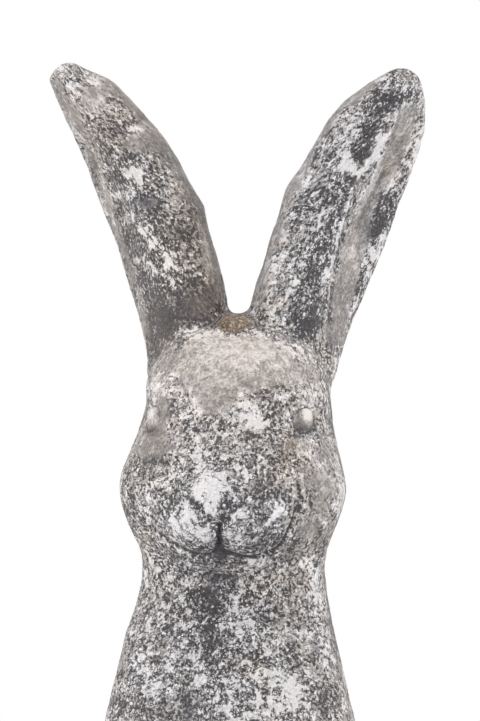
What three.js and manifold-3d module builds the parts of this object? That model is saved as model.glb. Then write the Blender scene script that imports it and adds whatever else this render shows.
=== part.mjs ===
// A seated garden rabbit in cast stone, with tall open ears, on a low oval plinth.
// The figure is pressed in two half moulds over an iron armature, and the ears, the eyes and the plinth are
// cast by themselves and bedded on in mortar. Millimetres, +Z up, facing -Y; +X is the rabbit's own left.
import * as THREE from 'three';
import { mergeVertices } from 'three/addons/utils/BufferGeometryUtils.js';
import Module from 'manifold-3d';

const wasm = await Module();
wasm.setup();

// Clearances
const CLEARANCE = 0.3;
const SEAM_GAP = 0.3;

// Plinth and the mortar bed let into its top
const PLINTH_WIDTH = 240;
const PLINTH_DEPTH = 280;
const PLINTH_HEIGHT = 28;
const PLINTH_EDGE = 5;
const BED_WIDTH = 120;
const BED_DEPTH = 130;
const BED_THICKNESS = 5;

// The figure's levels, from the sole to the crown: climb above the level below, half width, and where
// along Y the level is widest, starts in front and ends at the back
const LEVELS = [
  { climb: 0, half: 50, widest: 14, front: -66, back: 88 },
  { climb: 32, half: 58, widest: 14, front: -76, back: 106 },
  { climb: 40, half: 63, widest: 10, front: -81, back: 113 },
  { climb: 40, half: 71, widest: -4, front: -84, back: 109 },
  { climb: 40, half: 77, widest: -26, front: -83, back: 98 },
  { climb: 39, half: 73.5, widest: -36, front: -78, back: 84 },
  { climb: 36, half: 65, widest: -30, front: -65, back: 70 },
  { climb: 30, half: 57.5, widest: -21, front: -50, back: 60 },
  { climb: 20, half: 54.5, widest: -15, front: -41, back: 55 },
  { climb: 15, half: 55, widest: -15, front: -46, back: 55 },
  { climb: 16, half: 61, widest: -17, front: -58, back: 59 },
  { climb: 21, half: 67.5, widest: -17, front: -64, back: 66 },
  { climb: 23, half: 62, widest: -10, front: -62, back: 70 },
  { climb: 20, half: 56.5, widest: 4, front: -56, back: 69 },
  { climb: 20, half: 54.5, widest: 12, front: -46, back: 64 },
  { climb: 20, half: 45, widest: 13, front: -30, back: 53 },
  { climb: 12, half: 28, widest: 12, front: -11, back: 38 },
  { climb: 5, half: 8, widest: 13, front: 6, back: 21 },
];
const ROUNDNESS = 2.3;
const ROWS_PER_LEVEL = 2;
const FIGURE_COLUMNS = 40;

// Landmarks on the head, as drops below the crown
const EYE_DROP = 58.5;
const MUZZLE_DROP = 116;
const MOUTH_DROP = 135;
const CHIN_DROP = 146;
const EAR_ROOT_DROP = 41;

// Swellings of the head: how far out of the surface, and their size across, along and up
const MUZZLE = { out: 14, width: 33, length: 40, height: 27 };
const LIP = { out: 4.5, width: 15, length: 26, height: 15, spread: 17 };
const NOSE = { out: 4, width: 9, length: 20, height: 8, above: 9 };
const CHIN = { out: 4, width: 26, length: 40, height: 9 };
const BROW = { out: 3, width: 12, length: 26, height: 7, spread: 43, above: 13 };
const MOUTH_SPREAD = 38;
const MOUTH_SAG = 5;
const MOUTH_LIFT = 13;
const MOUTH_LINE = 3;

// Limbs and tail
const FORELEG = { spread: 33, shoulder: 26, wrist: 19, top: 178, lean: -62, stand: -84, paw: 23, pawLength: 62 };
const HAUNCH = { spread: 49, width: 46, length: 76, height: 74, middle: 30, lift: 62 };
const FOOT = { spread: 70, width: 23, length: 66, height: 19, middle: -38 };
const TAIL = { size: 27, middle: 108, lift: 40 };

// Ears: a centre line that climbs from the head, its offsets to the side and back, and a leaf-like section
const EAR_LINE = [
  { climb: 0, out: 28, back: 5 },
  { climb: 50, out: 37, back: 17 },
  { climb: 55, out: 56.5, back: 27 },
  { climb: 45, out: 77.5, back: 26 },
];
const EAR_TIP = {
  left: { climb: 44, out: 103, back: 12, upper: 35, point: 21 },
  right: { climb: 50, out: 113, back: 12, upper: 27.5, point: 18 },
};
const EAR_SECTIONS = [
  { broad: 30, thick: 22, hollow: 0 },
  { broad: 36, thick: 23, hollow: 4 },
  { broad: 39, thick: 24, hollow: 8 },
  { broad: 38, thick: 22.5, hollow: 8 },
  { broad: 'upper', thick: 19, hollow: 6 },
  { broad: 'point', thick: 13, hollow: 1 },
];
const EAR_OPENS_TOWARDS = 50;
const EAR_HOLLOW_SHIFT = 14;
const EAR_HOLLOW_SPREAD = 27;
const EAR_ROWS = 18;
const EAR_COLUMNS = 24;
const EAR_MORTAR = 3;
const MORTAR_PROUD = 1.2;
const CROWN_LUMP = { width: 14, length: 24, height: 8, drop: 2.5 };

// Eyes
const EYE_SPREAD = 46;
const EYE = { length: 8.5, height: 9, depth: 6.5, sunk: 2.5, turned: 60 };
const EYE_PIN_DIAMETER = 3;
const EYE_PIN_LENGTH = 18;

// Armature, laid on the seam between the two castings
const SEAM_Y = 10;
const SPINE_DIAMETER = 10;
const SPINE_DROP = 53;
const ROD_DIAMETER = 6;
const EAR_ROD_REACH = 0.72;
const SIDE_BAR = { top: 270, shoulderOut: 46, shoulder: 190, hipOut: 50, hip: 90, foot: 16 };
const TIE_WIRE = 2.4;
const TIE_GAP = 0.6;
const LEG_DOWEL_DIAMETER = 10;
const LEG_DOWEL_HEIGHT = 80;
const DOWEL_DEPTH = 20;

// Worked-out heights
const SOLE = PLINTH_HEIGHT + CLEARANCE;
const heights = LEVELS.reduce((all, level) => [...all, (all.at(-1) ?? SOLE) + level.climb], []);
const CROWN = heights.at(-1);
const CROWN_HEIGHT = CROWN - SOLE;
const EYE_HEIGHT = CROWN_HEIGHT - EYE_DROP;
const MUZZLE_HEIGHT = CROWN_HEIGHT - MUZZLE_DROP;
const MOUTH_HEIGHT = CROWN_HEIGHT - MOUTH_DROP;
const CHIN_HEIGHT = CROWN_HEIGHT - CHIN_DROP;
const SPINE_HEIGHT = CROWN_HEIGHT - SPINE_DROP;
const FAR = 400;

const castStone = new THREE.MeshStandardMaterial({ color: 0x9a9794, roughness: 0.92, metalness: 0 });
const mortar = new THREE.MeshStandardMaterial({ color: 0xc4b8a6, roughness: 0.95, metalness: 0 });
const brownMortar = new THREE.MeshStandardMaterial({ color: 0x8a7355, roughness: 0.97, metalness: 0 });
const iron = new THREE.MeshStandardMaterial({ color: 0x6b4634, roughness: 0.8, metalness: 0.6 });

// A closed body whose surface point is given for each turn around (radians) and each share of the way up
function shaped(columns, rows, point) {
  const geometry = new THREE.SphereGeometry(1, columns, rows);
  const { position, uv } = geometry.attributes;
  for (let i = 0; i < position.count; i++) {
    const at = point(2 * Math.PI * uv.getX(i), uv.getY(i));
    position.setXYZ(i, at.x, at.y, at.z);
  }
  return geometry;
}

function ellipsoid(width, length, height, columns = 20, rows = 12) {
  return new THREE.SphereGeometry(1, columns, rows).rotateX(Math.PI / 2).scale(width, length, height);
}

// Merged copy of a geometry with its positions only, moved out along its own normals
function grown(geometry, distance) {
  const bare = new THREE.BufferGeometry().setAttribute('position', geometry.getAttribute('position'));
  const merged = mergeVertices(bare.setIndex(geometry.getIndex()), 1e-3);
  if (!distance) return merged;
  merged.computeVertexNormals();
  const { position, normal } = merged.attributes;
  for (let i = 0; i < position.count; i++) {
    const at = new THREE.Vector3().fromBufferAttribute(position, i);
    at.addScaledVector(new THREE.Vector3().fromBufferAttribute(normal, i), distance);
    position.setXYZ(i, at.x, at.y, at.z);
  }
  merged.deleteAttribute('normal');
  return merged;
}

// A geometry as a manifold solid that faces out, grown first if asked
function solid(geometry, distance = 0) {
  const merged = grown(geometry, distance);
  const triVerts = new Uint32Array(merged.index.array);
  const made = new wasm.Manifold(
    new wasm.Mesh({ numProp: 3, vertProperties: merged.attributes.position.array, triVerts }),
  );
  return made;
}

function geometryOf(manifold) {
  const mesh = manifold.getMesh();
  const geometry = new THREE.BufferGeometry();
  geometry.setAttribute('position', new THREE.BufferAttribute(mesh.vertProperties, 3));
  geometry.setIndex(new THREE.BufferAttribute(mesh.triVerts, 1));
  geometry.computeVertexNormals();
  return geometry;
}

// The largest body of a solid, without the crumbs that a cut leaves
function largest(manifold) {
  return manifold.decompose().reduce((a, b) => (b.volume() > a.volume() ? b : a));
}

function cut(manifold, ...tools) {
  return tools.reduce((rest, tool) => rest.subtract(tool), manifold);
}

function block(lowX, highX, lowY, highY, lowZ, highZ) {
  const box = new THREE.BoxGeometry(highX - lowX, highY - lowY, highZ - lowZ);
  return solid(box.translate((lowX + highX) / 2, (lowY + highY) / 2, (lowZ + highZ) / 2));
}

// A round bar along a curve, wider all round by spare
function bar(curve, diameter, steps, spare = 0) {
  const ring = new THREE.Shape().absarc(0, 0, diameter / 2 + spare, 0, 2 * Math.PI);
  return new THREE.ExtrudeGeometry(ring, { steps, curveSegments: 5, bevelEnabled: false, extrudePath: curve });
}

function upright(x, y, low, high, diameter, spare = 0) {
  const tube = new THREE.CylinderGeometry(diameter / 2 + spare, diameter / 2 + spare, high - low + 2 * spare, 12);
  return tube.rotateX(Math.PI / 2).translate(x, y, (low + high) / 2);
}

// The figure's skin
const profile = new THREE.CubicInterpolant(
  LEVELS.map((_, i) => i),
  LEVELS.flatMap((level, i) => [heights[i], level.half, level.widest, level.front, level.back]),
  5,
);

function squared(c) {
  return Math.sign(c) * Math.abs(c) ** (2 / ROUNDNESS);
}

// Bumps of the face, each pushing the skin forward around its middle
const faceBumps = [
  { x: 0, height: MUZZLE_HEIGHT, shape: MUZZLE },
  { x: 0, height: MUZZLE_HEIGHT + NOSE.above, shape: NOSE },
  { x: 0, height: CHIN_HEIGHT, shape: CHIN },
];
for (const side of [-1, 1]) {
  faceBumps.push({ x: side * LIP.spread, height: MOUTH_HEIGHT + LIP.height / 2, shape: LIP });
  faceBumps.push({ x: side * BROW.spread, height: EYE_HEIGHT + BROW.above, shape: BROW });
}

function pushed(at) {
  const level = levelAt(at.z);
  let out = 0;
  for (const { x, height, shape } of faceBumps) {
    const across = (at.x - x) / shape.width;
    const along = (at.y - level.front) / shape.length;
    const up = (at.z - SOLE - height) / shape.height;
    out += shape.out * Math.exp(-(across ** 2) - along ** 2 - up ** 2);
  }
  at.y -= out;
  return at;
}

function sectionAt(step) {
  const [z, half, widest, front, back] = profile.evaluate(step);
  return { z, half, widest, front, back };
}

// The section at a height, found by halving
function levelAt(z) {
  let low = 0;
  let high = LEVELS.length - 1;
  while (high - low > 1e-3) {
    const middle = (low + high) / 2;
    if (sectionAt(middle).z < z) low = middle;
    else high = middle;
  }
  return sectionAt(low);
}

function skinPoint(turn, share) {
  const level = sectionAt(share * (LEVELS.length - 1));
  const forward = -Math.sin(turn);
  const reach = forward < 0 ? level.widest - level.front : level.back - level.widest;
  const x = squared(-Math.cos(turn)) * level.half;
  return pushed(new THREE.Vector3(x, level.widest + squared(forward) * reach, level.z));
}

// The point of the face straight behind x at a height above the sole
function facePoint(x, height) {
  const level = levelAt(SOLE + height);
  const share = (1 - Math.min(1, Math.abs(x) / level.half) ** ROUNDNESS) ** (1 / ROUNDNESS);
  return pushed(new THREE.Vector3(x, level.widest - share * (level.widest - level.front), level.z));
}

const rows = ROWS_PER_LEVEL * (LEVELS.length - 1);
const skinGeometry = shaped(FIGURE_COLUMNS, rows + 2, (turn, share) => {
  const ends = share === 0 || share === 1;
  const inner = THREE.MathUtils.clamp((share * (rows + 2) - 1) / rows, 0, 1);
  if (!ends) return skinPoint(turn, inner);
  const level = sectionAt(inner * (LEVELS.length - 1));
  return new THREE.Vector3(0, level.widest, level.z);
});

function foreleg(side) {
  const top = SOLE + FORELEG.top;
  return shaped(16, 10, (turn, share) => {
    const flat = share === 0 || share === 1 ? 0 : 1;
    const thick = THREE.MathUtils.lerp(FORELEG.wrist, FORELEG.shoulder, share ** 1.5);
    const middle = THREE.MathUtils.lerp(FORELEG.stand, FORELEG.lean, share ** 2);
    const taper = flat * Math.sqrt(Math.max(0, 1 - Math.max(0, (share - 0.7) / 0.3) ** 2));
    const x = side * FORELEG.spread - Math.cos(turn) * thick * taper;
    return new THREE.Vector3(x, middle - Math.sin(turn) * thick * taper, SOLE + (top - SOLE) * share);
  });
}

function limbs(side) {
  const paw = ellipsoid(FORELEG.paw, FORELEG.pawLength / 2, FORELEG.paw).translate(
    side * FORELEG.spread, FORELEG.stand - FORELEG.pawLength / 5, SOLE);
  const haunch = ellipsoid(HAUNCH.width, HAUNCH.length, HAUNCH.height, 26, 16).translate(
    side * HAUNCH.spread, HAUNCH.middle, SOLE + HAUNCH.lift);
  const foot = ellipsoid(FOOT.width, FOOT.length, FOOT.height * 1.3).translate(
    side * FOOT.spread, FOOT.middle, SOLE + FOOT.height * 0.3);
  return [foreleg(side), paw, haunch, foot].map((geometry) => solid(geometry));
}

// Ears
function earLine(side) {
  const tip = side > 0 ? EAR_TIP.left : EAR_TIP.right;
  let z = CROWN - EAR_ROOT_DROP;
  const points = [...EAR_LINE, tip].map(({ climb, out, back }) => {
    z += climb;
    return new THREE.Vector3(side * out, SEAM_Y + back, z);
  });
  return new THREE.CatmullRomCurve3(points, false, 'centripetal');
}

function earSection(side) {
  const tip = side > 0 ? EAR_TIP.left : EAR_TIP.right;
  return new THREE.CubicInterpolant(
    EAR_SECTIONS.map((_, i) => i),
    EAR_SECTIONS.flatMap(({ broad, thick, hollow }) => [tip[broad] ?? broad, thick, hollow]),
    3,
  );
}

function earGeometry(side) {
  const line = earLine(side);
  const section = earSection(side);
  const opens = THREE.MathUtils.degToRad(EAR_OPENS_TOWARDS);
  const open = new THREE.Vector3(side * Math.sin(opens), -Math.cos(opens), 0);
  const shift = THREE.MathUtils.degToRad(EAR_HOLLOW_SHIFT);
  const spread = THREE.MathUtils.degToRad(EAR_HOLLOW_SPREAD);
  return shaped(EAR_COLUMNS, EAR_ROWS, (turn, share) => {
    const body = 0.82;
    const tipShare = Math.max(0, (share - body) / (1 - body));
    const climb = share <= body ? share : body + (1 - body) * Math.sin((tipShare * Math.PI) / 2);
    const tangent = line.getTangentAt(climb);
    const out = open.clone().addScaledVector(tangent, -open.dot(tangent)).normalize();
    const across = tangent.clone().cross(out).normalize();
    const [broad, thick, hollow] = section.evaluate(climb * (EAR_SECTIONS.length - 1));
    const round = share === 0 ? 0 : Math.cos((tipShare * Math.PI) / 2) ** 0.9;
    const turned = turn - Math.PI / 2;
    const away = Math.atan2(Math.sin(turned - side * shift), Math.cos(turned - side * shift));
    const carved = hollow * Math.exp(-((away / spread) ** 2));
    return line.getPointAt(climb)
      .addScaledVector(across, round * broad * Math.sin(turned))
      .addScaledVector(out, round * (thick * Math.cos(turned) - carved));
  });
}

function rodLine(side) {
  const line = earLine(side);
  const beside = side * (SPINE_DIAMETER / 2 + ROD_DIAMETER / 2 + CLEARANCE);
  const foot = new THREE.Vector3(beside, SEAM_Y, SOLE + SPINE_HEIGHT - 30);
  const bend = new THREE.Vector3(beside * 1.2, SEAM_Y, SOLE + SPINE_HEIGHT - 8);
  const within = [0.12, 0.3, 0.5, EAR_ROD_REACH].map((share) => line.getPointAt(share));
  return new THREE.CatmullRomCurve3([foot, bend, ...within], false, 'centripetal');
}

function sideLine(side) {
  const beside = side * (SPINE_DIAMETER / 2 + ROD_DIAMETER / 2 + CLEARANCE);
  const at = (x, height) => new THREE.Vector3(x, SEAM_Y, SOLE + height);
  return new THREE.CatmullRomCurve3([
    at(beside, SIDE_BAR.top + 12),
    at(beside * 1.1, SIDE_BAR.top - 12),
    at(side * SIDE_BAR.shoulderOut, SIDE_BAR.shoulder),
    at(side * SIDE_BAR.hipOut, SIDE_BAR.hip),
    at(side * SIDE_BAR.hipOut, SIDE_BAR.foot),
  ], false, 'centripetal');
}

// A ring of wire round the spine and the two bars beside it
function tie(height, spare = 0) {
  const wire = TIE_WIRE / 2 + spare;
  const half = SPINE_DIAMETER / 2 + ROD_DIAMETER + CLEARANCE + TIE_GAP + TIE_WIRE / 2;
  const deep = SPINE_DIAMETER / 2 + TIE_GAP + TIE_WIRE / 2;
  const ring = new THREE.TorusGeometry(deep, wire, 6, 20);
  const { position } = ring.attributes;
  const stretch = half - deep;
  for (let i = 0; i < position.count; i++) {
    const x = position.getX(i);
    position.setX(i, x + stretch * THREE.MathUtils.clamp(x / (deep * 0.5), -1, 1));
  }
  return ring.translate(0, SEAM_Y, SOLE + height);
}

// Eyes: the bead and its pin lie along a line turned out from the way the face looks
function eyeFrame(side) {
  const seat = facePoint(side * EYE_SPREAD, EYE_HEIGHT);
  const turned = THREE.MathUtils.degToRad(EYE.turned) * side;
  const frame = new THREE.Matrix4().makeRotationZ(turned);
  const outward = new THREE.Vector3(0, -1, 0).applyMatrix4(frame);
  return frame.setPosition(seat.addScaledVector(outward, -EYE.sunk));
}

function eyeBead(side) {
  return ellipsoid(EYE.length, EYE.depth, EYE.height, 16, 12).applyMatrix4(eyeFrame(side));
}

function eyePin(side, spare = 0) {
  const radius = EYE_PIN_DIAMETER / 2 + spare;
  const pin = new THREE.CylinderGeometry(radius, radius, EYE_PIN_LENGTH + 2 * spare, 12);
  return pin.translate(0, EYE_PIN_LENGTH / 2, 0).applyMatrix4(eyeFrame(side));
}

// The mouth line and the cleft of the lip, sunk into the face as one narrow groove each
function mouthGroove(side) {
  const points = [0, 0.25, 0.5, 0.75, 1].map((share) => {
    const rise = -MOUTH_SAG * Math.sin(Math.PI * share * 0.8) + MOUTH_LIFT * share ** 3;
    return facePoint(side * MOUTH_SPREAD * share, MOUTH_HEIGHT + rise);
  });
  return bar(new THREE.CatmullRomCurve3(points), MOUTH_LINE, 10);
}

function lipCleft() {
  const points = [MOUTH_HEIGHT, MOUTH_HEIGHT + 9, MOUTH_HEIGHT + 18].map((height) => facePoint(0, height));
  return bar(new THREE.CatmullRomCurve3(points), MOUTH_LINE, 4);
}

function ovalSlab(width, depth, height, edge) {
  const oval = new THREE.Shape().absellipse(0, 0, width / 2 - edge, depth / 2 - edge, 0, 2 * Math.PI);
  const bevel = { bevelEnabled: edge > 0, bevelThickness: edge, bevelSize: edge, bevelSegments: 3 };
  const slab = new THREE.ExtrudeGeometry(oval, { depth: height - 2 * edge, curveSegments: 24, ...bevel });
  return slab.translate(0, 0, edge);
}

// Everything that is let into the castings
const sides = { left: 1, right: -1 };
const spine = upright(0, SEAM_Y, SOLE - DOWEL_DEPTH, SOLE + SPINE_HEIGHT, SPINE_DIAMETER);
const spineBore = solid(upright(0, SEAM_Y, SOLE - DOWEL_DEPTH, SOLE + SPINE_HEIGHT, SPINE_DIAMETER, CLEARANCE));
const tieHeights = { neck_tie: SIDE_BAR.top, head_tie: SPINE_HEIGHT - 20 };
const tieBores = Object.values(tieHeights).map((height) => solid(tie(height, CLEARANCE)));
const legDowel = (side, spare = 0) =>
  upright(side * FORELEG.spread, FORELEG.stand, SOLE - DOWEL_DEPTH, SOLE + LEG_DOWEL_HEIGHT, LEG_DOWEL_DIAMETER, spare);

let figure = solid(skinGeometry);
for (const side of Object.values(sides)) {
  figure = limbs(side).reduce((whole, limb) => whole.add(limb), figure);
}
figure = figure.add(solid(ellipsoid(TAIL.size, TAIL.size, TAIL.size).translate(0, TAIL.middle, SOLE + TAIL.lift)));
figure = figure.intersect(block(-FAR, FAR, -FAR, FAR, SOLE, 2 * FAR));

const crownZone = solid(skinGeometry, MORTAR_PROUD);
const parts = [];
const place = (name, manifold, material) => parts.push({ name, manifold, material });
const seats = [spineBore, ...tieBores, lipCleft()].map((tool) => (tool.isBufferGeometry ? solid(tool) : tool));

for (const [hand, side] of Object.entries(sides)) {
  const ear = earGeometry(side);
  const rodBore = solid(bar(rodLine(side), ROD_DIAMETER, 16, CLEARANCE));
  const sideBore = solid(bar(sideLine(side), ROD_DIAMETER, 14, CLEARANCE));
  const bed = solid(ear, EAR_MORTAR).intersect(crownZone);
  const bead = eyeBead(side);
  seats.push(solid(ear, EAR_MORTAR + CLEARANCE), rodBore, sideBore, solid(bead, CLEARANCE));
  seats.push(solid(eyePin(side, CLEARANCE)), solid(legDowel(side, CLEARANCE)), solid(mouthGroove(side)));
  place(`${hand}_ear`, cut(solid(ear), rodBore), castStone);
  place(`${hand}_ear_mortar`, largest(cut(bed, solid(ear, CLEARANCE), rodBore)), mortar);
  place(`${hand}_ear_rod`, solid(bar(rodLine(side), ROD_DIAMETER, 16)), iron);
  place(`${hand}_side_bar`, solid(bar(sideLine(side), ROD_DIAMETER, 14)), iron);
  place(`${hand}_eye`, cut(solid(bead), solid(eyePin(side, CLEARANCE))), castStone);
  place(`${hand}_eye_pin`, solid(eyePin(side)), iron);
  place(`${hand}_leg_dowel`, solid(legDowel(side)), iron);
}
place('spine_bar', solid(spine), iron);
for (const [name, height] of Object.entries(tieHeights)) place(name, solid(tie(height)), iron);

const lump = ellipsoid(CROWN_LUMP.width, CROWN_LUMP.length, CROWN_LUMP.height, 16, 12)
  .translate(0, SEAM_Y, CROWN - CROWN_LUMP.drop);
const earSeats = Object.values(sides).map((side) => solid(earGeometry(side), EAR_MORTAR + CLEARANCE));
place('crown_mortar', largest(cut(solid(lump), solid(skinGeometry, CLEARANCE), ...earSeats)), brownMortar);

figure = cut(figure, ...seats);
const halfSeam = SEAM_GAP / 2;
place('front_casting', largest(figure.intersect(block(-FAR, FAR, -FAR, SEAM_Y - halfSeam, 0, 2 * FAR))), castStone);
place('rear_casting', largest(figure.intersect(block(-FAR, FAR, SEAM_Y + halfSeam, FAR, 0, 2 * FAR))), castStone);

const dowelBores = Object.values(sides).map((side) => solid(legDowel(side, CLEARANCE)));
const bedLow = PLINTH_HEIGHT - BED_THICKNESS;
const bedding = ovalSlab(BED_WIDTH, BED_DEPTH, BED_THICKNESS, 0).translate(0, SEAM_Y, bedLow);
const pocket = ovalSlab(BED_WIDTH + 2 * CLEARANCE, BED_DEPTH + 2 * CLEARANCE, BED_THICKNESS + 1, 0);
const plinth = solid(ovalSlab(PLINTH_WIDTH, PLINTH_DEPTH, PLINTH_HEIGHT, PLINTH_EDGE));
const pocketSolid = solid(pocket.translate(0, SEAM_Y, bedLow - CLEARANCE));
place('plinth', cut(plinth, pocketSolid, spineBore, ...dowelBores), castStone);
place('plinth_mortar_bed', cut(solid(bedding), spineBore, ...dowelBores), mortar);

const rabbit = new THREE.Group();
rabbit.name = 'garden_rabbit';
for (const { name, manifold, material } of parts) {
  const mesh = new THREE.Mesh(geometryOf(manifold), material);
  mesh.name = name;
  rabbit.add(mesh);
}

export default rabbit;
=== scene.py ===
import math

import bmesh
import bpy
import numpy as np
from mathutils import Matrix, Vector, noise


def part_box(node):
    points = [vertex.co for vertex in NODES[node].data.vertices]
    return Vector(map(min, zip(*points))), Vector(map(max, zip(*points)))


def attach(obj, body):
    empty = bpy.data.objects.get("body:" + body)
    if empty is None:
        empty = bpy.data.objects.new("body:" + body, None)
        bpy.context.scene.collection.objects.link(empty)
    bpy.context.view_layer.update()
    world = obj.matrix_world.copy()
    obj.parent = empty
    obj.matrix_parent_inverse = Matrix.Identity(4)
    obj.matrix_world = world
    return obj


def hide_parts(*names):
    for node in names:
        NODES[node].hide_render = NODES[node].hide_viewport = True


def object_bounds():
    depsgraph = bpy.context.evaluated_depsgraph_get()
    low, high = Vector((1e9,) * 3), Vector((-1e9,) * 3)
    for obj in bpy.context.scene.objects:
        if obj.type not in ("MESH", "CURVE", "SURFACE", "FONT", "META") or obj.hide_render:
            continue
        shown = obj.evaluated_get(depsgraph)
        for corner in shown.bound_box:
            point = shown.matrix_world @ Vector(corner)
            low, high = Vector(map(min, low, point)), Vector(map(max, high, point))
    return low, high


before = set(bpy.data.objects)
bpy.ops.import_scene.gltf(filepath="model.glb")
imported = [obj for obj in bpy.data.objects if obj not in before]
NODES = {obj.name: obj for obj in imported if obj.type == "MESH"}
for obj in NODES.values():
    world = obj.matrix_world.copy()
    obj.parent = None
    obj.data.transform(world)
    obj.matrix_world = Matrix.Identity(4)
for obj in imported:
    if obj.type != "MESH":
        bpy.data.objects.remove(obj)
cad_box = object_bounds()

MM = 0.001

# The picture's frame, and how the camera sees it: millimetres on a plane through the object's axis
FRAME_WIDTH, FRAME_HEIGHT = 480, 721
MM_PER_PIXEL = 0.6
CAMERA_TURN = math.radians(8)
CAMERA_DISTANCE = 1800.0
CAMERA_HEIGHT = 434.7
CAMERA_ASIDE = 2.2
RIGHT = np.array([math.cos(CAMERA_TURN), math.sin(CAMERA_TURN), 0])
TOWARDS = np.array([math.sin(CAMERA_TURN), -math.cos(CAMERA_TURN), 0])

# Planes of the CAD part, and the sides that the rabbit's left and right lie on along X
SEAM_Y = (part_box("front_casting")[1].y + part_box("rear_casting")[0].y) / 2 / MM
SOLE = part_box("front_casting")[0].z / MM
TOP = cad_box[1][2] / MM
SIDES = {"left": 1, "right": -1}

# Grids that the forms are made on
FORM_VOXEL = 2.6
SKIN_VOXEL = 1.35
EAR_VOXEL = 2.0
PLINTH_VOXEL = 2.0
CROWN_VOXEL = 1.2
BEAD_VOXEL = 0.8

# Gaps between pieces of the skin. A ring of mortar lies between two faces round the ear: how far each
# stands off it, and the height, the size and the seed of its waves
HAIRLINE = 0.06
EYE_GAP = 0.45
EAR_RING = {"inner": (1.6, 0.5, 9, 21), "outer": (3.6, 0.7, 7, 22)}

# Which way the eyes look, and for each bead how flat it is, and how far it is pushed in, moved back
# round the head, moved up, and leaned. The sockets are filled first by a flat bead that lies deeper.
EYE_TURN = math.radians(60)
EYE_BEADS = {"left_eye": (0.88, 0.0, -0.6, -0.8, 0.40), "right_eye": (0.65, 0.3, 0.0, -0.2, 0.0)}
SOCKET_FILLING = (0.3, 1.2)

# How far CAD pieces grow or move, so that the gaps between them close and they make one skin
ROD_GROWTH = 0.6
PIECE_GROWTH = 0.5
CROWN_GROWTH = 1.6
REAR_SHIFT = (0, -0.45, 0)

# Share of the way to its neighbours' average that smoothing moves a point in one round
SMOOTHING = 0.6


class Form:
    """A surface of triangles and quads in millimetres, with the moves that sculpting needs."""

    def __init__(self, points, tris, quads):
        self.points = np.asarray(points, float)
        self.tris = np.asarray(tris, np.int64).reshape(-1, 3)
        self.quads = np.asarray(quads, np.int64).reshape(-1, 4)
        self._edges = None

    @classmethod
    def of_mesh(cls, mesh):
        points = np.empty(len(mesh.vertices) * 3)
        mesh.vertices.foreach_get("co", points)
        loops = np.empty(len(mesh.loops), np.int64)
        mesh.loops.foreach_get("vertex_index", loops)
        starts = np.empty(len(mesh.polygons), np.int64)
        sizes = np.empty(len(mesh.polygons), np.int64)
        mesh.polygons.foreach_get("loop_start", starts)
        mesh.polygons.foreach_get("loop_total", sizes)
        tris, quads = (loops[starts[sizes == n][:, None] + np.arange(n)] for n in (3, 4))
        return cls(points.reshape(-1, 3) / MM, tris, quads)

    def mesh(self, name):
        made = bpy.data.meshes.new(name)
        loops = np.concatenate([self.tris.ravel(), self.quads.ravel()])
        sizes = np.concatenate([np.full(len(self.tris), 3), np.full(len(self.quads), 4)])
        made.vertices.add(len(self.points))
        made.loops.add(len(loops))
        made.polygons.add(len(sizes))
        made.vertices.foreach_set("co", (self.points * MM).ravel())
        made.loops.foreach_set("vertex_index", loops)
        made.polygons.foreach_set("loop_start", np.cumsum(sizes) - sizes)
        made.update(calc_edges=True)
        made.validate()
        return made

    def triangles(self):
        return np.concatenate([self.tris, self.quads[:, [0, 1, 2]], self.quads[:, [0, 2, 3]]])

    def normals(self):
        tris = self.triangles()
        a, b, c = (self.points[tris[:, i]] for i in range(3))
        area = np.cross(b - a, c - a)
        total = np.zeros_like(self.points)
        for i in range(3):
            for axis in range(3):
                total[:, axis] += np.bincount(tris[:, i], area[:, axis], len(self.points))
        return total / np.maximum(np.linalg.norm(total, axis=1, keepdims=True), 1e-12)

    def edges(self):
        if self._edges is None:
            rings = [(self.tris, 3), (self.quads, 4)]
            pairs = np.concatenate([f[:, [i, (i + 1) % n]] for f, n in rings for i in range(n)])
            self._edges = np.unique(np.sort(pairs, axis=1), axis=0)
        return self._edges

    def averaged(self, values):
        a, b = self.edges().T
        size = len(self.points)
        count = np.bincount(a, minlength=size) + np.bincount(b, minlength=size)
        total = [np.bincount(a, v[b], size) + np.bincount(b, v[a], size) for v in values.T]
        return np.stack(total, 1) / np.maximum(count, 1)[:, None]

    def smooth(self, rounds, keep=0.0):
        """Averages the points with their neighbours; keep gives back a share of the shrinking."""
        for _ in range(rounds):
            self.points += SMOOTHING * (self.averaged(self.points) - self.points)
            if keep:
                self.points -= SMOOTHING * keep * (self.averaged(self.points) - self.points)
        return self

    def moved_out(self, distance):
        return Form(self.points + self.normals() * np.reshape(distance, (-1, 1)), self.tris, self.quads)


def cad_form(name, grow=0.0, shift=(0, 0, 0)):
    """A CAD node's points welded into one surface, moved out along its normals and shifted."""
    raw = Form.of_mesh(NODES[name].data)
    _, first, back = np.unique(np.round(raw.points, 3), axis=0, return_index=True, return_inverse=True)
    tris = back.ravel()[raw.triangles()]
    whole = (tris[:, 0] != tris[:, 1]) & (tris[:, 1] != tris[:, 2]) & (tris[:, 0] != tris[:, 2])
    form = Form(raw.points[first], tris[whole], [])
    form.points += form.normals() * grow + np.array(shift)
    return form


def joined(forms):
    starts = np.cumsum([0] + [len(f.points) for f in forms])
    return Form(
        np.concatenate([f.points for f in forms]),
        np.concatenate([f.tris + s for f, s in zip(forms, starts)]),
        np.concatenate([f.quads + s for f, s in zip(forms, starts)]),
    )


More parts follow.
